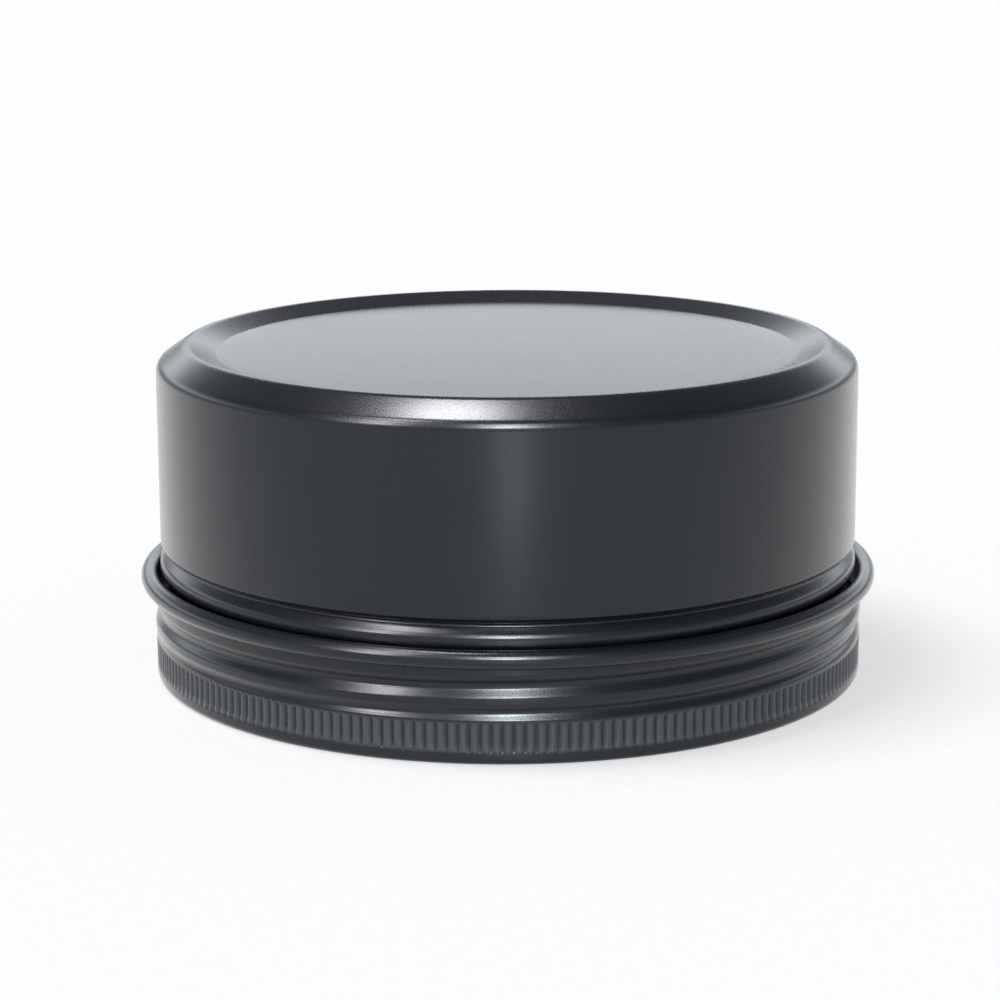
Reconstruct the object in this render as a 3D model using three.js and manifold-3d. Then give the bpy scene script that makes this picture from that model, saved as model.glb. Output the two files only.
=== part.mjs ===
// A screw-top aluminium tin for a container candle, standing upside down on its lid.
// Millimetres, +Z up. The origin is the centre of the lid's flat outer face, which is what the tin stands on.
// The tin is drawn from one sheet and so is the lid; a foam disc inside the lid seals the mouth.
import * as THREE from "three";
import { mergeVertices } from "three/addons/utils/BufferGeometryUtils.js";
import Module from "manifold-3d";

// Driving dimensions, of the outside unless they say otherwise
const WALL_RADIUS = 41.5;
const OVERALL_HEIGHT = 39.5;
const SHEET = 0.45;
const SEGMENTS = 60;
const CORNER_STEPS = 2;

// Tin: base rim, chamfer, stop ring, threaded neck and curled mouth
const CREST_RADIUS = 38.1;
const SHOULDER_HEIGHT = 37.25;
const PANEL_RADIUS = 34.0;
const PANEL_RECESS = 1.1;
const WALL_FOOT = 15.9;
const WAIST_RADIUS = 40.1;
const WAIST_HEIGHT = 15.3;
const RING_RADIUS = 41.6;
const RING_HEIGHT = 14.05;
const RING_BOTTOM = 12.9;
const NECK_RADIUS = 40.75;
const NECK_TOP = 12.5;
const MOUTH_CURL_RADIUS = 0.45;
const MOUTH_CURL_END = -250;
const MOUTH_CURL_STEPS = 5;

// Lid: flat face, knurled grip, threaded skirt and curled edge
const LID_RADIUS = 42.0;
const LID_CORNER = 0.7;
const GRIP_TEETH = 218;
const GRIP_CREST = 42.25;
const GRIP_ROOT = 42.05;
const GRIP_BOTTOM = 1.2;
const GRIP_TOP = 4.9;
const SKIRT_RADIUS = 42.3;
const SKIRT_BOTTOM = 5.4;
const SKIRT_TOP = 11.35;
const LID_NECK_RADIUS = 42.22;
const LID_CURL_OUTSIDE = 43.9;
const LID_CURL_HEIGHT = 11.95;
const LID_CURL_RADIUS = 0.85;
const LID_CURL_END = -110;
const LID_CURL_STEPS = 8;

// Thread: right-handed, rolled into both sheets, so each ridge on one face is a groove on the other
const THREAD_PITCH = 3.175;
const THREAD_HALF_WIDTH = 1.0;
const THREAD_ROWS = 8;
const LID_THREAD = { depth: -0.62, height: 8.65, first: -470, last: 200, low: SKIRT_BOTTOM, high: SKIRT_TOP };
const TIN_THREAD = { depth: 0.62, height: 6.9, first: -150, last: 280, low: 4.4, high: 10.6 };
const THREAD_RUN_OUT = 45;

// Liner: a loose disc of foam in the lid
const LINER_RADIUS = 41.2;
const LINER_THICKNESS = 1.2;
const RESTING_GAP = 0.1;

// Where straight stretches of the sheet's middle line would meet if the bend between them were sharp
const PANEL_CORNER = { out: 0.6, cut: 1.6 };
const CREST_CORNER = { in: 0.15, up: 0.11, cut: 0.5 };
const SHOULDER_CORNER = { down: 0.12, cut: 0.6 };
const FOOT_CUT = 0.3;
const WAIST_CUT = 0.4;
const RING_CUT = 0.35;
const NECK_CUT = 0.3;
const LID_NECK_RISE = 0.3;
const GRIP_CLEARANCE = 0.1;

// Heights and radii that follow from the dimensions above
const HALF = SHEET / 2;
const LINER_BOTTOM = SHEET + RESTING_GAP;
const MOUTH_HEIGHT = LINER_BOTTOM + LINER_THICKNESS + RESTING_GAP;

const BLACK_COAT = new THREE.MeshStandardMaterial({ color: 0x202226, roughness: 0.36, metalness: 0.3 });
const WHITE_FOAM = new THREE.MeshStandardMaterial({ color: 0xf0efe9, roughness: 0.9, metalness: 0 });

const wasm = await Module();
wasm.setup();

const radians = THREE.MathUtils.degToRad;

// A line through corners given as [radius, height, cut]; cut is how far from the corner its rounding begins.
function roundedLine(corners) {
  const points = corners.map(([radius, height]) => new THREE.Vector2(radius, height));
  const line = new THREE.Path().moveTo(points[0].x, points[0].y);
  for (let i = 1; i < points.length - 1; i += 1) {
    const corner = points[i];
    const cut = corners[i][2] ?? 0;
    const before = points[i - 1].clone().sub(corner).setLength(cut).add(corner);
    const after = points[i + 1].clone().sub(corner).setLength(cut).add(corner);
    line.lineTo(before.x, before.y);
    if (cut > 0) line.quadraticCurveTo(corner.x, corner.y, after.x, after.y);
  }
  const end = points.at(-1);
  line.lineTo(end.x, end.y);
  return line.getPoints(CORNER_STEPS);
}

// Evenly spaced heights up or down a straight wall, so that a thread can be pressed into it.
function wallRows(radius, from, to) {
  return Array.from({ length: THREAD_ROWS + 1 }, (_, i) => [
    radius,
    THREE.MathUtils.lerp(from, to, i / THREAD_ROWS),
  ]);
}

// The sheet's own middle line where its edge is curled round a centre.
function curl(centreRadius, centreHeight, radius, fromDegrees, toDegrees, steps) {
  return Array.from({ length: steps + 1 }, (_, i) => {
    const angle = radians(THREE.MathUtils.lerp(fromDegrees, toDegrees, i / steps));
    return [centreRadius + radius * Math.cos(angle), centreHeight + radius * Math.sin(angle)];
  });
}

// Which way the sheet faces at one point of its middle line, lengthened where the line bends.
function facing(line, i) {
  const into = line[i].clone().sub(line[Math.max(i - 1, 0)]);
  const outOf = line[Math.min(i + 1, line.length - 1)].clone().sub(line[i]);
  const before = (into.lengthSq() > 0 ? into : outOf).clone().normalize();
  const after = (outOf.lengthSq() > 0 ? outOf : into).clone().normalize();
  const along = before.clone().add(after).normalize();
  return new THREE.Vector2(along.y, -along.x).divideScalar(along.dot(before));
}

// The closed outline of a sheet whose middle line starts on the axis.
function sheetOutline(line) {
  const offset = (side) => line.map((point, i) => facing(line, i).multiplyScalar(side * HALF).add(point));
  const outline = [...offset(1), ...offset(-1).reverse()];
  outline[0].x = 0;
  outline.at(-1).x = 0;
  return outline;
}

// How much of a thread's depth is pressed in at an angle and a height, from 0 to 1.
function threadShare(thread, degrees, height) {
  let share = 0;
  for (let turn = -3; turn <= 3; turn += 1) {
    const wound = degrees + 360 * turn;
    const centre = thread.height + (THREAD_PITCH * wound) / 360;
    const away = Math.abs(height - centre) / THREAD_HALF_WIDTH;
    const runIn = THREE.MathUtils.smoothstep(wound, thread.first, thread.first + THREAD_RUN_OUT);
    const runOut = 1 - THREE.MathUtils.smoothstep(wound, thread.last - THREAD_RUN_OUT, thread.last);
    const bump = away < 1 ? (1 + Math.cos(Math.PI * away)) / 2 : 0;
    share = Math.max(share, bump * runIn * runOut);
  }
  return share;
}

// Moves the wall in or out along the helix, both faces alike, as rolling the thread does.
function pressThread(geometry, thread) {
  const position = geometry.getAttribute("position");
  for (let i = 0; i < position.count; i += 1) {
    const x = position.getX(i);
    const y = position.getY(i);
    const z = position.getZ(i);
    const radius = Math.hypot(x, y);
    if (radius < PANEL_RADIUS || z <= thread.low + 0.01 || z >= thread.high - 0.01) continue;
    const degrees = THREE.MathUtils.radToDeg(Math.atan2(x, -y));
    const scale = 1 + (thread.depth * threadShare(thread, degrees, z)) / radius;
    position.setXY(i, x * scale, y * scale);
  }
}

// Turns an outline about the axis, which becomes +Z.
function turned(outline) {
  return new THREE.LatheGeometry(outline, SEGMENTS).rotateX(Math.PI / 2);
}

// A closed geometry as a manifold-3d solid.
function solid(geometry) {
  const bare = geometry.index ? geometry.toNonIndexed() : geometry.clone();
  bare.deleteAttribute("normal");
  bare.deleteAttribute("uv");
  const merged = mergeVertices(bare, 1e-3);
  return new wasm.Manifold(
    new wasm.Mesh({
      numProp: 3,
      vertProperties: merged.getAttribute("position").array,
      triVerts: new Uint32Array(merged.index.array),
    }),
  );
}

// The triangles of a manifold-3d solid, shaded flat where it is faceted.
function geometryOf(made) {
  const mesh = made.getMesh();
  const geometry = new THREE.BufferGeometry();
  geometry.setAttribute("position", new THREE.BufferAttribute(mesh.vertProperties, 3));
  geometry.setIndex(new THREE.BufferAttribute(mesh.triVerts, 1));
  geometry.computeVertexNormals();
  return geometry;
}

// Tin: recessed base panel, rim, chamfer, straight wall, stop ring, neck and a mouth curled inwards
function tinBody() {
  const wall = WALL_RADIUS - HALF;
  const neck = NECK_RADIUS - HALF;
  const panel = OVERALL_HEIGHT - PANEL_RECESS - HALF;
  const curlHeight = MOUTH_HEIGHT + MOUTH_CURL_RADIUS + HALF;
  const middle = roundedLine([
    [0, panel],
    [PANEL_RADIUS + PANEL_CORNER.out, panel, PANEL_CORNER.cut],
    [CREST_RADIUS - CREST_CORNER.in, OVERALL_HEIGHT - HALF + CREST_CORNER.up, CREST_CORNER.cut],
    [wall, SHOULDER_HEIGHT - SHOULDER_CORNER.down, SHOULDER_CORNER.cut],
    [wall, WALL_FOOT, FOOT_CUT],
    [WAIST_RADIUS - HALF, WAIST_HEIGHT, WAIST_CUT],
    [RING_RADIUS - HALF, RING_HEIGHT, RING_CUT],
    [RING_RADIUS - HALF, RING_BOTTOM, NECK_CUT],
    [neck, NECK_TOP, NECK_CUT],
    ...wallRows(neck, TIN_THREAD.high, TIN_THREAD.low),
    ...curl(neck - MOUTH_CURL_RADIUS, curlHeight, MOUTH_CURL_RADIUS, 0, MOUTH_CURL_END, MOUTH_CURL_STEPS),
  ]);
  const geometry = turned(sheetOutline(middle));
  pressThread(geometry, TIN_THREAD);
  return new THREE.Mesh(geometry, BLACK_COAT.clone());
}

// The outline of the grip seen from above: teeth round the outside and a plain circle inside the sheet.
function gripShape() {
  const shape = new THREE.Shape();
  const points = Array.from({ length: 2 * GRIP_TEETH }, (_, i) => {
    const angle = (Math.PI * i) / GRIP_TEETH;
    const radius = i % 2 ? GRIP_ROOT : GRIP_CREST;
    return new THREE.Vector2(radius * Math.sin(angle), -radius * Math.cos(angle));
  });
  shape.setFromPoints(points);
  shape.holes.push(new THREE.Path().absarc(0, 0, LID_RADIUS - HALF, 0, 2 * Math.PI, true));
  return shape;
}

// Lid: flat face, rounded corner, grip, threaded skirt and an edge curled outwards
function lidShell() {
  const side = LID_RADIUS - HALF;
  const skirt = SKIRT_RADIUS - HALF;
  const curlCentre = LID_CURL_OUTSIDE - HALF - LID_CURL_RADIUS;
  const middle = roundedLine([
    [0, HALF],
    [side, HALF, LID_CORNER - HALF],
    [side, GRIP_TOP + GRIP_CLEARANCE],
    ...wallRows(skirt, SKIRT_BOTTOM, SKIRT_TOP),
    [LID_NECK_RADIUS - HALF, SKIRT_TOP + LID_NECK_RISE],
    ...curl(curlCentre, LID_CURL_HEIGHT, LID_CURL_RADIUS, 180, LID_CURL_END, LID_CURL_STEPS),
  ]);
  const geometry = turned(sheetOutline(middle));
  pressThread(geometry, LID_THREAD);
  const grip = new THREE.ExtrudeGeometry(gripShape(), {
    depth: GRIP_TOP - GRIP_BOTTOM,
    bevelEnabled: false,
    curveSegments: SEGMENTS,
  });
  grip.translate(0, 0, GRIP_BOTTOM);
  return new THREE.Mesh(geometryOf(solid(geometry).add(solid(grip))), BLACK_COAT.clone());
}

// Liner: a plain disc lying in the lid, under the mouth of the tin
function lidLiner() {
  const geometry = turned([
    new THREE.Vector2(0, LINER_BOTTOM),
    new THREE.Vector2(LINER_RADIUS, LINER_BOTTOM),
    new THREE.Vector2(LINER_RADIUS, LINER_BOTTOM + LINER_THICKNESS),
    new THREE.Vector2(0, LINER_BOTTOM + LINER_THICKNESS),
  ]);
  return new THREE.Mesh(geometry, WHITE_FOAM);
}

const candleTin = new THREE.Group();
const pieces = { lid_shell: lidShell(), lid_liner: lidLiner(), tin_body: tinBody() };
for (const [name, mesh] of Object.entries(pieces)) {
  mesh.name = name;
  candleTin.add(mesh);
}

export default candleTin;
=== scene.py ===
"""The looks of the candle tin: a black screw-top aluminium tin standing upside down on its lid.

Each shell is one drawn sheet, so each is made here from the middle line of its sheet, thickened to both
sides, turned about the axis, and then pressed: the thread and the grip move both faces of the sheet.
Lengths are in millimetres until a mesh is made, and in metres after that.
"""

import math

import bpy
import numpy as np
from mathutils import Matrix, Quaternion, Vector


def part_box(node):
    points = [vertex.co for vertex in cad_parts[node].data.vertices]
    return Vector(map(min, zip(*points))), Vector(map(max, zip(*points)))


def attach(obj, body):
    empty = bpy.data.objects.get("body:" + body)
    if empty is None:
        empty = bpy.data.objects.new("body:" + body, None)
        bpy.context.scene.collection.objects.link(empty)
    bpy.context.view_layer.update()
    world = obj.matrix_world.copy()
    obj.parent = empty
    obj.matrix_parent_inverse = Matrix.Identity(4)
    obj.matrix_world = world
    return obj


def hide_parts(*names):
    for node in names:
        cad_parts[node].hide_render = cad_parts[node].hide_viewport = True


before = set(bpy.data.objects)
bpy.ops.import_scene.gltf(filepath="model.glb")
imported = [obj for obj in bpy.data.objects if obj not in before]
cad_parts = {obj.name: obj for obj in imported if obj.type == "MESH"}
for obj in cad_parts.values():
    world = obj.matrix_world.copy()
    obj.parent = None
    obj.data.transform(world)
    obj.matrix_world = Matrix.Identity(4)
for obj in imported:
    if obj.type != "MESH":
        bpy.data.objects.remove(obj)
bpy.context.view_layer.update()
MM = 0.001

# Sizes read from the frame
TIN_LOW, TIN_HIGH = (np.array(corner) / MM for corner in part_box("tin_body"))
LID_HIGH = np.array(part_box("lid_shell")[1]) / MM
LINER_LOW, LINER_HIGH = (np.array(corner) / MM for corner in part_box("lid_liner"))

# Sheet and smoothness
SHEET = 0.45
HALF_SHEET = SHEET / 2
ARC_STEP = math.radians(9)
CUT_EDGE_ANGLES = np.radians((30, 60, 90, 120, 150))
TIN_SEGMENTS = 512
LINER_SEGMENTS = TIN_SEGMENTS // 2
TIN_THREAD_SPACING = 0.12
LID_THREAD_SPACING = 0.07

# Tin: each bend, the crest and the panel are measured on the sheet's middle line, other radii outside
WALL_RADIUS = 41.5
CREST_RADIUS = 37.9
CREST_RISE = 0.2
CREST_BEND = 1.2
SHOULDER_HEIGHT = 37.18
SHOULDER_BEND = 1.35
PANEL_RADIUS = 34.0
PANEL_EDGE = 0.5
PANEL_BEND = 1.3
PANEL_RECESS = 1.1
PANEL_DISH = 0.5
DISH_RINGS = 11
DISH_STEP = 2.5
WALL_FOOT = 15.9
FOOT_BEND = 0.8
WAIST_RADIUS = 40.3
WAIST_HEIGHT = 15.4
WAIST_BEND = 0.45
RING_RADIUS = 41.6
RING_HEIGHT = 14.05
RING_BEND = 0.9
RING_BOTTOM = 12.9
NECK_RADIUS = 40.75
NECK_TOP = 12.5
NECK_BEND = 0.35
NECK_FILL_LOW = 3.5
NECK_PRESS_LOW = 3.6
NECK_PRESS_HIGH = NECK_TOP - 0.5
MOUTH_CURL = 0.45
MOUTH_CURL_END = -250

# Lid
LID_RADIUS = 42.25
LID_CORNER = 0.7
SKIRT_RADIUS = 42.3
SKIRT_RISE = 0.2
SKIRT_TOP = 11.35
SKIRT_BEND = 0.5
SKIRT_PRESS_HIGH = SKIRT_TOP + 0.2
LID_NECK_RADIUS = 42.22
LID_NECK_RISE = 0.3
LID_NECK_BEND = 0.2
LID_CURL = 0.85
LID_CURL_HEIGHT = 12.0
LID_CURL_START = 180
LID_CURL_END = -110
LID_COAT_INSET = 0.6 * SHEET

# Grip
GRIP_TEETH = 218
GRIP_SAMPLES = 4
GRIP_DEPTH = 0.36
GRIP_BOTTOM = 1.2
GRIP_TOP = 4.9
GRIP_FADE_BOTTOM = 0.4
GRIP_FADE_TOP = 0.5
GRIP_SHALLOW = 0.3
GRIP_DEEP_FROM = 1.3
GROOVE_FADE_BELOW = 0.6
GROOVE_FADE_ABOVE = 1.4

# Liner
LINER_LOW_BEND = 0.15
LINER_HIGH_BEND = 0.2
PRINT_DEPTH = 0.12
PRINT_WIDTH = 0.5
PRINT_BEND = 0.6
PRINT_EDGE_BEND = 0.25

# Thread, right-handed
PITCH = 3.175
RUN_OUT = 60
LID_THREAD = {
    "depth": -0.6, "height": 8.2, "first": -470, "last": 200,
    "lower_edge": -0.8, "lower_floor": 0.5, "upper_floor": 0.6, "upper_edge": 1.9}
TIN_THREAD = {
    "depth": 0.7, "height": 6.9, "first": -150, "last": 280,
    "lower_edge": -0.95, "lower_floor": -0.1, "upper_floor": 0.1, "upper_edge": 0.95}

# Camera, at the photograph's viewing angle
CAMERA_PLACE = Vector((0.0, -345.6, 97.85)) * MM
CAMERA_TARGET = Vector((-0.9, 0.0, 19.84)) * MM
CAMERA_ROLL = math.radians(0.22)
CAMERA_LENS = 106.2

# Lights: azimuth and tilt of the surface that shows each, its strength, and its width; angles in degrees
LEFT_WINDOW = ((-21, 21, 1.1, 11), (-20, 30, 1.0, 11), (-18, 40, 0.9, 11))
FRONT_WINDOW = ((0, 21, 2.3, 10), (0, 29, 1.2, 10))
TABLE_SHEEN = (1, 2, 0.12, 12)
SKYLIGHT = (-9.8, 55, 2.05, 15)
TABLE_FILL = (0, 52, 4.93, 60)
SIDE_LIGHT = (-19, 47, 2.0, 30)

# Colours of the lights
PINKISH = (1.0, 0.93, 0.93)
BLUISH = (0.92, 0.97, 1.0)
FAINT_PINK = (1.0, 0.97, 0.97)
WARM = (1.0, 0.985, 0.965)
WHITE = (1.0, 1.0, 1.0)

# Colours and finish of the materials
COAT_DARK = (0.0020, 0.0028, 0.0046, 1)
COAT_CLOUD = (0.0028, 0.0036, 0.0056, 1)
# Lighter colour for the grip's tooth crests, and how much of it: painted light on the teeth, against the
# shade in their valleys
COAT_CREST_LIGHT = (0.035, 0.037, 0.042, 1)
COAT_CREST_LIGHT_SHARE = 0.8
COAT_TINT = (0.84, 0.94, 1.0, 1)
COAT_IOR = 1.31
ALUMINIUM_DARK = (0.74, 0.74, 0.73, 1)
ALUMINIUM_LIGHT = (0.82, 0.82, 0.82, 1)
FOAM_DARK = (0.80, 0.80, 0.78, 1)
FOAM_LIGHT = (0.88, 0.88, 0.87, 1)
FOAM_CELL = (0.66, 0.66, 0.64, 1)
FLOOR_DARK = (0.395, 0.398, 0.40, 1)
FLOOR_LIGHT = (0.405, 0.408, 0.41, 1)

# The stage, in metres
FLOOR_REACH = 12.0

# The room's brightness, from the horizon (0) to straight up (1)
WORLD_BEHIND = (
    (0.0, (0.25, 0.26, 0.28)), (1.0, (0.15, 0.155, 0.165)), (0.11, (0.3, 0.31, 0.33)),
    (0.25, (2.05, 2.13, 2.23)), (0.33, (0.8, 0.84, 0.89)), (0.42, (0.2, 0.21, 0.23)),
    (0.6, (0.18, 0.185, 0.2)))
WORLD_IN_FRONT = ((0.0, (0.64, 0.67, 0.73)), (1.0, (0.13, 0.14, 0.155)), (0.5, (0.31, 0.33, 0.36)))


# ---------------------------------------------------------------- outlines

def unit(vector):
    return vector / np.linalg.norm(vector)


def rounded_line(corners):
    """A line through (radius, height) or (radius, height, bend) corners, each bend an arc of that radius."""
    places = [np.array(corner[:2], float) for corner in corners]
    points = [places[0]]
    for before, here, after, corner in zip(places, places[1:], places[2:], corners[1:-1]):
        if len(corner) < 3:
            points.append(here)
            continue
        into, out_of = unit(here - before), unit(after - here)
        turn = math.atan2(into[0] * out_of[1] - into[1] * out_of[0], into @ out_of)
        reach = corner[2] * math.tan(abs(turn) / 2)
        start = here - into * reach
        side = np.array((-into[1], into[0])) * math.copysign(1, turn)
        centre = start + side * corner[2]
        steps = max(1, math.ceil(abs(turn) / ARC_STEP))
        for angle in np.linspace(0, turn, steps + 1):
            spoke = start - centre
            points.append(centre + np.array((
                spoke[0] * math.cos(angle) - spoke[1] * math.sin(angle),
                spoke[0] * math.sin(angle) + spoke[1] * math.cos(angle))))
    points.append(places[-1])
    return points


def curl(radius, height, bend, start, end):
    """Corners of a sheet's edge curled round a centre, from one angle to another in degrees."""
    steps = math.ceil(abs(math.radians(end - start)) / ARC_STEP)
    return [(radius + bend * math.cos(angle), height + bend * math.sin(angle))
            for angle in np.radians(np.linspace(start, end, steps + 1))]


def filled(points, longest, low, high):
    """The line with more points between two heights, none further apart than longest."""
    dense = [points[0]]
    for before, here in zip(points, points[1:]):
        steep = abs(here[1] - before[1]) > 0.5 * np.linalg.norm(here - before)
        inside = low <= (before[1] + here[1]) / 2 <= high and steep
        steps = math.ceil(np.linalg.norm(here - before) / longest) if inside else 1
        dense += [before + (here - before) * share for share in np.linspace(0, 1, steps + 1)[1:]]
    return dense


def facing(points):
    """Which way the sheet faces at each point of its middle line, lengthened where the line bends."""
    points = np.array(points)
    along = np.diff(points, axis=0)
    along /= np.linalg.norm(along, axis=1)[:, None]
    before, after = np.vstack([along[:1], along]), np.vstack([along, along[-1:]])
    middle = before + after
    middle /= np.linalg.norm(middle, axis=1)[:, None]
    stretch = 1 / np.einsum("ij,ij->i", middle, before)
    return np.stack([middle[:, 1], -middle[:, 0]], axis=1) * stretch[:, None]


def sheet_outline(points, outside):
    """Both faces of a sheet and its rounded cut edge; outside is 1 or -1, the side that is coated.

    Gives the outline and, for each stretch of it, whether it is on the coated side.
    """
    line, faces = np.array(points), facing(points)
    coated = line + faces * outside * SHEET / 2
    bare = line - faces * outside * SHEET / 2
    end, spread = line[-1], faces[-1] * outside * SHEET / 2
    ahead = unit(line[-1] - line[-2]) * SHEET / 2
    edge = [end + spread * math.cos(angle) + ahead * math.sin(angle) for angle in CUT_EDGE_ANGLES]
    bare = np.vstack([bare[:0:-2], bare[:1]])
    outline = np.vstack([coated, edge, bare])
    outline[0, 0] = outline[-1, 0] = 0
    coated_stretch = [True] * (len(coated) + 1) + [False] * (len(outline) - len(coated) - 2)
    return outline, coated_stretch


# ---------------------------------------------------------------- pressed shapes

def smooth(value, low, high):
    """0 below low, 1 above high, and an even S between."""
    share = np.clip((value - low) / (high - low), 0, 1)
    return share * share * (3 - 2 * share)


def ramp(value, low, high):
    """0 below low, 1 above high, a straight flank between, and a rounded bend at both ends of it."""
    width = high - low
    bend = 0.3 * width
    gone = np.clip(value - low, 0, width)
    left = width - gone
    share = np.where(gone < bend, gone * gone / (2 * bend), gone - bend / 2)
    share = np.where(left < bend, width - bend - left * left / (2 * bend), share)
    return share / (width - bend)


def thread_share(thread, degrees, height):
    """How much of the thread's depth is pressed in, from 0 to 1."""
    share = np.zeros(np.broadcast(degrees, height).shape)
    for turn in range(-3, 4):
        wound = degrees + 360 * turn
        across = height - thread["height"] - PITCH * wound / 360
        pressed = ramp(across, thread["lower_edge"], thread["lower_floor"])
        pressed = pressed - ramp(across, thread["upper_floor"], thread["upper_edge"])
        run_in = smooth(wound, thread["first"], thread["first"] + RUN_OUT)
        run_out = 1 - smooth(wound, thread["last"] - RUN_OUT, thread["last"])
        share = np.maximum(share, pressed * run_in * run_out)
    return share


def grip_share(degrees, height):
    """How deep the grip is pressed in, from 0 to 1: sharp valleys between round teeth."""
    valley = 1 - np.abs(np.cos(np.radians(degrees) * GRIP_TEETH / 2))
    deep = smooth(height, GRIP_BOTTOM, GRIP_BOTTOM + GRIP_DEEP_FROM)
    shallow = GRIP_SHALLOW + (1 - GRIP_SHALLOW) * deep
    above_bottom = ramp(height, GRIP_BOTTOM, GRIP_BOTTOM + GRIP_FADE_BOTTOM)
    below_top = 1 - ramp(height, GRIP_TOP - GRIP_FADE_TOP, GRIP_TOP)
    return valley * shallow * above_bottom * below_top


# ---------------------------------------------------------------- meshes

def turned(name, outline, segments, press=None, low=0.0, high=0.0):
    """Turns an outline about the axis; press(degrees, height) moves the wall between low and high."""
    degrees = np.arange(segments) * 360 / segments
    angle = np.radians(degrees)
    rows, row_starts = [], []
    count = 0
    for radius, height in outline:
        row_starts.append(count)
        if radius < 1e-6:
            rows.append(np.array([[0, 0, height]]))
            count += 1
            continue
        reach = np.full(segments, radius)
        if press is not None and low < height < high and radius > PANEL_RADIUS:
            reach = reach + press(degrees, height)
        row = [reach * np.sin(angle), -reach * np.cos(angle), np.full(segments, height)]
        rows.append(np.stack(row, axis=1))
        count += segments
    faces, stretches = [], []
    around = np.arange(segments)
    onward = (around + 1) % segments
    for i in range(len(outline) - 1):
        here, there = row_starts[i], row_starts[i + 1]
        if len(rows[i]) == 1:
            quads = np.stack([np.full(segments, here), there + onward, there + around], axis=1)
        elif len(rows[i + 1]) == 1:
            quads = np.stack([here + around, here + onward, np.full(segments, there)], axis=1)
        else:
            quads = np.stack([here + around, here + onward, there + onward, there + around], axis=1)
        faces += quads.tolist()
        stretches += [i] * segments
    mesh = bpy.data.meshes.new(name)
    mesh.from_pydata((np.vstack(rows) * MM).tolist(), [], faces)
    mesh.validate()
    mesh.polygons.foreach_set("use_smooth", [True] * len(mesh.polygons))
    piece = bpy.data.objects.new(name, mesh)
    bpy.context.scene.collection.objects.link(piece)
    return piece, np.array(stretches)


def paint(piece, stretches, coated_stretch, coat, bare):
    """One material on the coated side of the sheet and another on the bare side."""
    piece.data.materials.append(coat)
    piece.data.materials.append(bare)
    is_bare = [0 if coated_stretch[stretch] else 1 for stretch in stretches]
    piece.data.polygons.foreach_set("material_index", is_bare)


def stand_in(piece, node, body):
    """The piece takes a CAD node's place, on its body, and the node is hidden."""
    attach(piece, body)
    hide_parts(node)


# ---------------------------------------------------------------- materials

class Nodes:
    """A short way to write a node tree."""

    def __init__(self, name):
        self.material = bpy.data.materials.new(name)
        self.material.use_nodes = True
        self.tree = self.material.node_tree
        self.shader = self.tree.nodes["Principled BSDF"]

    def add(self, kind, settings=None, **inputs):
        node = self.tree.nodes.new(kind)
        for key, value in (settings or {}).items():
            setattr(node, key, value)
        for key, value in inputs.items():
            self.set(node, key.replace("_", " "), value)
        return node

    def set(self, node, key, value):
        socket = node.inputs[int(key) if key.isdigit() else key]
        if isinstance(value, bpy.types.NodeSocket):
            self.tree.links.new(value, socket)
        else:
            socket.default_value = value

    def place(self):
        return self.add("ShaderNodeTexCoord").outputs["Object"]

    def noise(self, scale, detail=3.0, roughness=0.5, vector=None):
        node = self.add("ShaderNodeTexNoise", Scale=scale, Detail=detail, Roughness=roughness)
        self.set(node, "Vector", vector or self.place())
        return node.outputs["Fac"]

    def spread(self, value, low, high, from_low=0.3, from_high=0.7):
        node = self.add("ShaderNodeMapRange", Value=value)
        ends = {"From Min": from_low, "From Max": from_high, "To Min": low, "To Max": high}
        for key, number in ends.items():
            node.inputs[key].default_value = number
        return node.outputs["Result"]

    def math(self, operation, first, second=0.0):
        node = self.add("ShaderNodeMath", {"operation": operation})
        self.set(node, "0", first)
        self.set(node, "1", second)
        return node.outputs[0]

    def blend(self, share, first, second):
        node = self.add("ShaderNodeMix", {"data_type": "RGBA"})
        self.set(node, "0", share)
        self.set(node, "6", first)
        self.set(node, "7", second)
        return node.outputs[2]

    def bump(self, height, strength, distance, normal=None):
        node = self.add("ShaderNodeBump", Height=height, Strength=strength, Distance=distance)
        if normal is not None:
            self.set(node, "Normal", normal)
        return node.outputs["Normal"]


def grip_crests(n):
    """1 on the crests of the grip's teeth, which are painted lighter as painted light on the teeth, and 0
    elsewhere.
    """
    place = n.add("ShaderNodeSeparateXYZ", Vector=n.place())
    across = n.add("ShaderNodeCombineXYZ", X=place.outputs[0], Y=place.outputs[1])
    radius = n.add("ShaderNodeVectorMath", {"operation": "LENGTH"})
    n.set(radius, "0", across.outputs[0])
    crest = n.spread(radius.outputs["Value"], 0, 1, (LID_RADIUS - 0.28) * MM, (LID_RADIUS - 0.05) * MM)
    above = n.spread(place.outputs[2], 0, 1, (GRIP_BOTTOM + 0.1) * MM, (GRIP_BOTTOM + 0.5) * MM)
    below = n.spread(place.outputs[2], 1, 0, (GRIP_TOP - 0.3) * MM, GRIP_TOP * MM)
    return n.math("MULTIPLY", crest, n.math("MULTIPLY", above, below))


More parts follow.
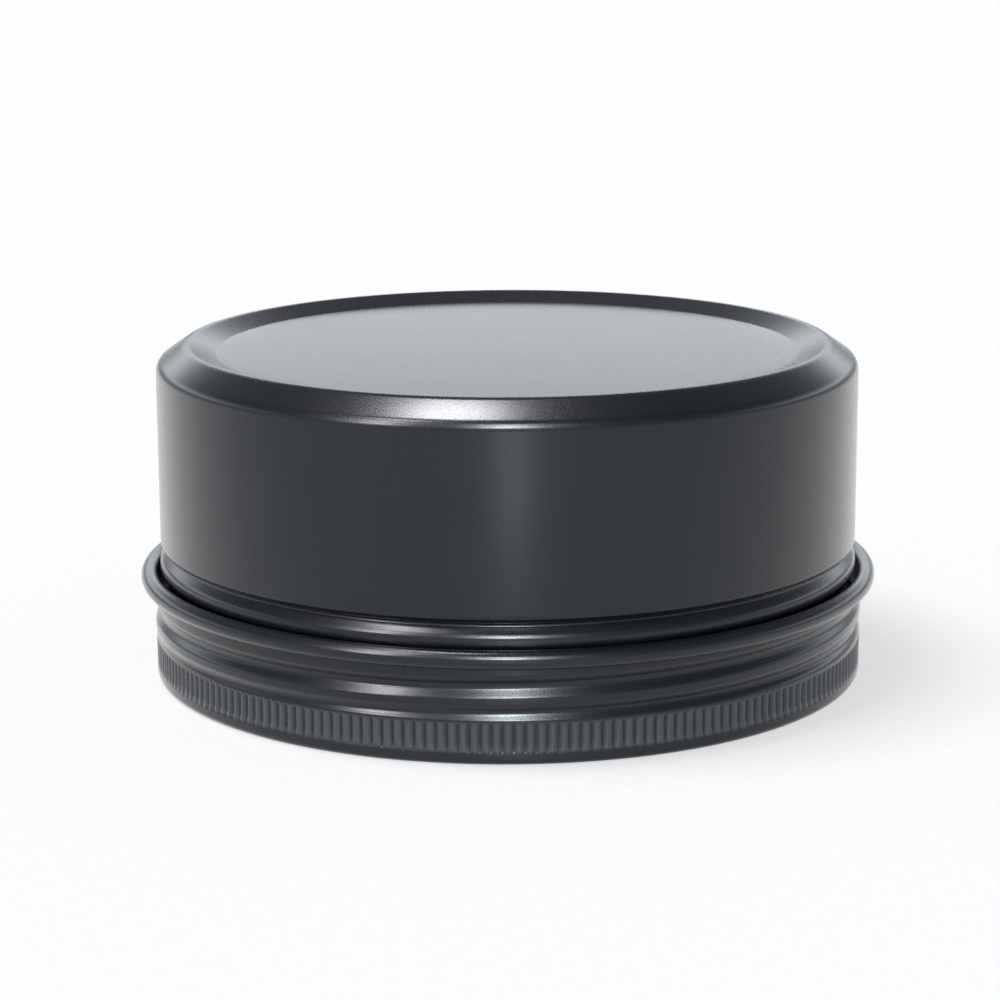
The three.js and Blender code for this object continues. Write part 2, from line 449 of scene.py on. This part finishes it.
def black_coat(name, painted_crest_light=False):
    """Satin black lacquer: a dark, slightly cool base, a fine powdery grain and faint handling marks;
    optionally, the grip's tooth crests are painted lighter, as painted light on the teeth.
    """
    n = Nodes(name)
    grain = n.noise(5200, 2.0)
    cloud = n.noise(90, 4.0, 0.6)
    peel = n.noise(900, 2.0)
    tone = n.blend(n.spread(cloud, 0, 1), COAT_DARK, COAT_CLOUD)
    if painted_crest_light:
        # Painted light: the grip's tooth crests get a lighter colour, standing in for light on the teeth
        # against the shade in their valleys
        tone = n.blend(n.math("MULTIPLY", grip_crests(n), COAT_CREST_LIGHT_SHARE), tone, COAT_CREST_LIGHT)
    n.set(n.shader, "Base Color", tone)
    rough = n.math("ADD", n.spread(cloud, 0.255, 0.265), n.spread(grain, -0.02, 0.02))
    n.set(n.shader, "Roughness", rough)
    n.set(n.shader, "Coat Roughness", rough)
    n.shader.inputs["IOR"].default_value = COAT_IOR
    n.shader.inputs["Coat IOR"].default_value = COAT_IOR
    n.shader.inputs["Coat Weight"].default_value = 1.0
    n.shader.inputs["Specular Tint"].default_value = COAT_TINT
    normal = n.bump(peel, 0.25, 0.00001, n.bump(grain, 0.35, 0.000004))
    n.set(n.shader, "Normal", normal)
    n.set(n.shader, "Coat Normal", normal)
    return n.material


def bare_aluminium(name):
    """The uncoated inside: clear-lacquered aluminium with the fine rings that drawing leaves."""
    n = Nodes(name)
    place = n.add("ShaderNodeSeparateXYZ", Vector=n.place())
    square = n.math("ADD", n.math("MULTIPLY", place.outputs[0], place.outputs[0]),
                    n.math("MULTIPLY", place.outputs[1], place.outputs[1]))
    radius = n.math("SQRT", square)
    rings = n.add("ShaderNodeCombineXYZ", X=radius, Y=place.outputs[2])
    lines = n.noise(9000, 3.0, 0.6, rings.outputs[0])
    cloud = n.noise(120, 3.0)
    n.set(n.shader, "Base Color", n.blend(n.spread(cloud, 0, 1), ALUMINIUM_DARK, ALUMINIUM_LIGHT))
    n.shader.inputs["Metallic"].default_value = 1.0
    n.set(n.shader, "Roughness", n.math("ADD", n.spread(cloud, 0.24, 0.32), n.spread(lines, -0.04, 0.06)))
    n.set(n.shader, "Normal", n.bump(lines, 0.3, 0.00001))
    return n.material


def white_foam(name):
    """Closed-cell foam: tight bubbles under a matt skin."""
    n = Nodes(name)
    cells = n.add("ShaderNodeTexVoronoi", {"feature": "SMOOTH_F1"}, Scale=1500.0, Vector=n.place())
    cloud = n.noise(60, 3.0)
    bubbles = cells.outputs["Distance"]
    tone = n.blend(n.spread(cloud, 0, 1), FOAM_DARK, FOAM_LIGHT)
    n.set(n.shader, "Base Color", n.blend(n.spread(bubbles, 0.0, 0.25, 0.3, 0.8), tone, FOAM_CELL))
    n.set(n.shader, "Roughness", n.spread(bubbles, 0.62, 0.8, 0.2, 0.8))
    n.set(n.shader, "Normal", n.bump(bubbles, 0.6, 0.00012))
    return n.material


def pale_floor(name):
    """A matt white table."""
    n = Nodes(name)
    paper = n.noise(700, 3.0)
    n.set(n.shader, "Base Color", n.blend(n.spread(paper, 0, 1), FLOOR_DARK, FLOOR_LIGHT))
    n.shader.inputs["Roughness"].default_value = 0.9
    n.shader.inputs["Specular IOR Level"].default_value = 0.1
    return n.material


# ---------------------------------------------------------------- pieces

def make_tin(coat, bare):
    """The tin: recessed base panel, rim, chamfer, wall, stop ring, threaded neck and curled mouth."""
    wall, neck = WALL_RADIUS - HALF_SHEET, NECK_RADIUS - HALF_SHEET
    ring = RING_RADIUS - HALF_SHEET
    top = TIN_HIGH[2]
    panel = top - PANEL_RECESS - HALF_SHEET
    mouth = TIN_LOW[2] + MOUTH_CURL + HALF_SHEET
    dish = [(radius, panel - PANEL_DISH * (1 - (radius / PANEL_RADIUS) ** 2))
            for radius in np.linspace(0, PANEL_RADIUS - DISH_STEP, DISH_RINGS)]
    line = rounded_line([
        *dish,
        (PANEL_RADIUS + PANEL_EDGE, panel, PANEL_BEND),
        (CREST_RADIUS, top - HALF_SHEET + CREST_RISE, CREST_BEND),
        (wall, SHOULDER_HEIGHT, SHOULDER_BEND),
        (wall, WALL_FOOT, FOOT_BEND),
        (WAIST_RADIUS - HALF_SHEET, WAIST_HEIGHT, WAIST_BEND),
        (ring, RING_HEIGHT, RING_BEND),
        (ring, RING_BOTTOM, NECK_BEND),
        (neck, NECK_TOP, NECK_BEND),
        *curl(neck - MOUTH_CURL, mouth, MOUTH_CURL, 0, MOUTH_CURL_END),
    ])
    line = filled(line, TIN_THREAD_SPACING, NECK_FILL_LOW, NECK_TOP)
    outline, coated_stretch = sheet_outline(line, -1)

    def press(degrees, height):
        return TIN_THREAD["depth"] * thread_share(TIN_THREAD, degrees, height)

    piece, stretches = turned("tin", outline, TIN_SEGMENTS, press, NECK_PRESS_LOW, NECK_PRESS_HIGH)
    paint(piece, stretches, coated_stretch, coat, bare)
    stand_in(piece, "tin_body", "tin")
    return piece


def make_lid(coat, bare):
    """The lid: flat face, rolled grip, threaded skirt and an edge curled outwards."""
    side, skirt = LID_RADIUS - HALF_SHEET, SKIRT_RADIUS - HALF_SHEET
    curl_centre = LID_HIGH[0] - HALF_SHEET - LID_CURL
    line = rounded_line([
        (0, HALF_SHEET),
        (side, HALF_SHEET, LID_CORNER - HALF_SHEET),
        (side, GRIP_TOP),
        (skirt, GRIP_TOP + SKIRT_RISE),
        (skirt, SKIRT_TOP, SKIRT_BEND),
        (LID_NECK_RADIUS - HALF_SHEET, SKIRT_TOP + LID_NECK_RISE, LID_NECK_BEND),
        *curl(curl_centre, LID_CURL_HEIGHT, LID_CURL, LID_CURL_START, LID_CURL_END),
    ])
    line = filled(line, LID_THREAD_SPACING, LID_CORNER, SKIRT_TOP)
    outline, coated_stretch = sheet_outline(line, 1)
    on_curl = (outline[:-1, 1] > SKIRT_TOP) | (outline[:-1, 0] > SKIRT_RADIUS - LID_COAT_INSET)
    coated_stretch = np.array(coated_stretch) | on_curl

    def press(degrees, height):
        clear_of_grip = ramp(height, GRIP_TOP - GROOVE_FADE_BELOW, GRIP_TOP + GROOVE_FADE_ABOVE)
        groove = LID_THREAD["depth"] * thread_share(LID_THREAD, degrees, height) * clear_of_grip
        return groove - GRIP_DEPTH * grip_share(degrees, height)

    segments = GRIP_TEETH * GRIP_SAMPLES
    piece, stretches = turned("lid", outline, segments, press, LID_CORNER, SKIRT_PRESS_HIGH)
    paint(piece, stretches, coated_stretch, coat, bare)
    stand_in(piece, "lid_shell", "lid")
    return piece


def make_liner(foam):
    """The liner: a foam disc with softly cut edges and the ring that the mouth has pressed into it."""
    low, high, radius = LINER_LOW[2], LINER_HIGH[2], LINER_HIGH[0]
    print_radius = NECK_RADIUS - HALF_SHEET - MOUTH_CURL
    line = rounded_line([
        (0, low),
        (radius, low, LINER_LOW_BEND),
        (radius, high, LINER_HIGH_BEND),
        (print_radius + PRINT_WIDTH, high, PRINT_EDGE_BEND),
        (print_radius, high - PRINT_DEPTH, PRINT_BEND),
        (print_radius - PRINT_WIDTH, high, PRINT_EDGE_BEND),
        (0, high),
    ])
    piece, _ = turned("liner", np.array(line), LINER_SEGMENTS)
    piece.data.materials.append(foam)
    stand_in(piece, "lid_liner", "liner")


# ---------------------------------------------------------------- stage

def make_camera():
    data = bpy.data.cameras.new("camera")
    data.lens = CAMERA_LENS
    data.sensor_width = 36
    data.clip_start = 0.01
    data.clip_end = 50
    camera = bpy.data.objects.new("camera", data)
    camera.location = CAMERA_PLACE
    aim = (CAMERA_TARGET - CAMERA_PLACE).to_track_quat("-Z", "Y")
    camera.rotation_euler = (aim @ Quaternion((0, 0, 1), -CAMERA_ROLL)).to_euler()
    bpy.context.scene.collection.objects.link(camera)
    bpy.context.scene.camera = camera


def make_floor():
    mesh = bpy.data.meshes.new("floor")
    corners = [(x * FLOOR_REACH, y * FLOOR_REACH, 0) for x, y in ((-1, -1), (1, -1), (1, 1), (-1, 1))]
    mesh.from_pydata(corners, [], [(0, 1, 2, 3)])
    floor = bpy.data.objects.new("floor", mesh)
    floor.data.materials.append(pale_floor("floor_white"))
    bpy.context.scene.collection.objects.link(floor)
    return floor


def make_light(name, azimuth, tilt, strength, width, colour, lit, shaded_by=None):
    """A soft, far light, placed so that one surface mirrors it to the camera.

    That surface faces azimuth, from the front towards +X, and leans back by tilt. lit is a collection of
    the only pieces that the light reaches, and shaded_by of the only ones that cast its shadow.
    """
    to_camera = (CAMERA_PLACE - CAMERA_TARGET).normalized()
    a, t = math.radians(azimuth), math.radians(tilt)
    facing_way = Vector((math.sin(a) * math.cos(t), -math.cos(a) * math.cos(t), math.sin(t)))
    to_light = 2 * to_camera.dot(facing_way) * facing_way - to_camera
    data = bpy.data.lights.new(name, "SUN")
    data.energy = strength
    data.angle = math.radians(width)
    data.color = colour
    light = bpy.data.objects.new(name, data)
    light.rotation_euler = to_light.to_track_quat("Z", "Y").to_euler()
    light.location = to_light
    light.light_linking.receiver_collection = lit
    if shaded_by is not None:
        light.light_linking.blocker_collection = shaded_by
    bpy.context.scene.collection.objects.link(light)


def make_world():
    """A grey room: a bright band low on the far wall, a paler horizon behind the camera, a dark ceiling."""
    world = bpy.data.worlds.new("studio")
    world.use_nodes = True
    bpy.context.scene.world = world
    tree = world.node_tree
    background = tree.nodes["Background"]
    place = tree.nodes.new("ShaderNodeTexCoord")
    split = tree.nodes.new("ShaderNodeSeparateXYZ")
    tree.links.new(place.outputs["Generated"], split.inputs[0])

    def colour_ramp(source, stops):
        node = tree.nodes.new("ShaderNodeValToRGB")
        node.color_ramp.interpolation = "EASE"
        elements = node.color_ramp.elements
        for number, (position, colour) in enumerate(stops):
            element = elements[number] if number < 2 else elements.new(position)
            element.position = position
            element.color = (*colour, 1)
        tree.links.new(source, node.inputs[0])
        return node.outputs[0]

    def remap(source, low, high):
        node = tree.nodes.new("ShaderNodeMapRange")
        node.inputs["From Min"].default_value = low
        node.inputs["From Max"].default_value = high
        tree.links.new(source, node.inputs["Value"])
        return node.outputs["Result"]

    behind = colour_ramp(split.outputs["Z"], WORLD_BEHIND)
    in_front = colour_ramp(split.outputs["Z"], WORLD_IN_FRONT)
    mix = tree.nodes.new("ShaderNodeMix")
    mix.data_type = "RGBA"
    tree.links.new(remap(split.outputs["Y"], -0.35, 0.25), mix.inputs[0])
    tree.links.new(in_front, mix.inputs[6])
    tree.links.new(behind, mix.inputs[7])
    tree.links.new(mix.outputs[2], background.inputs["Color"])
    background.inputs["Strength"].default_value = 1.0


coat = black_coat("black_coat")
bare = bare_aluminium("bare_aluminium")
make_camera()
coated = bpy.data.collections.new("coated")
coated.objects.link(make_tin(coat, bare))
# The lid's coat has painted light on the grip's tooth crests
coated.objects.link(make_lid(black_coat("black_coat_lit_crests", painted_crest_light=True), bare))
make_liner(white_foam("white_foam"))
floor = make_floor()
make_world()
for number, light in enumerate(LEFT_WINDOW):
    make_light(f"left_{number}", *light, PINKISH, coated, coated)
for number, light in enumerate(FRONT_WINDOW):
    make_light(f"front_{number}", *light, BLUISH, coated, coated)
make_light("table_sheen", *TABLE_SHEEN, BLUISH, coated, coated)
make_light("skylight", *SKYLIGHT, FAINT_PINK, coated, coated)
table = bpy.data.collections.new("table")
table.objects.link(floor)
make_light("table_fill", *TABLE_FILL, WHITE, table, table)
make_light("side", *SIDE_LIGHT, WARM, table)
bpy.context.scene.view_settings.view_transform = "Standard"
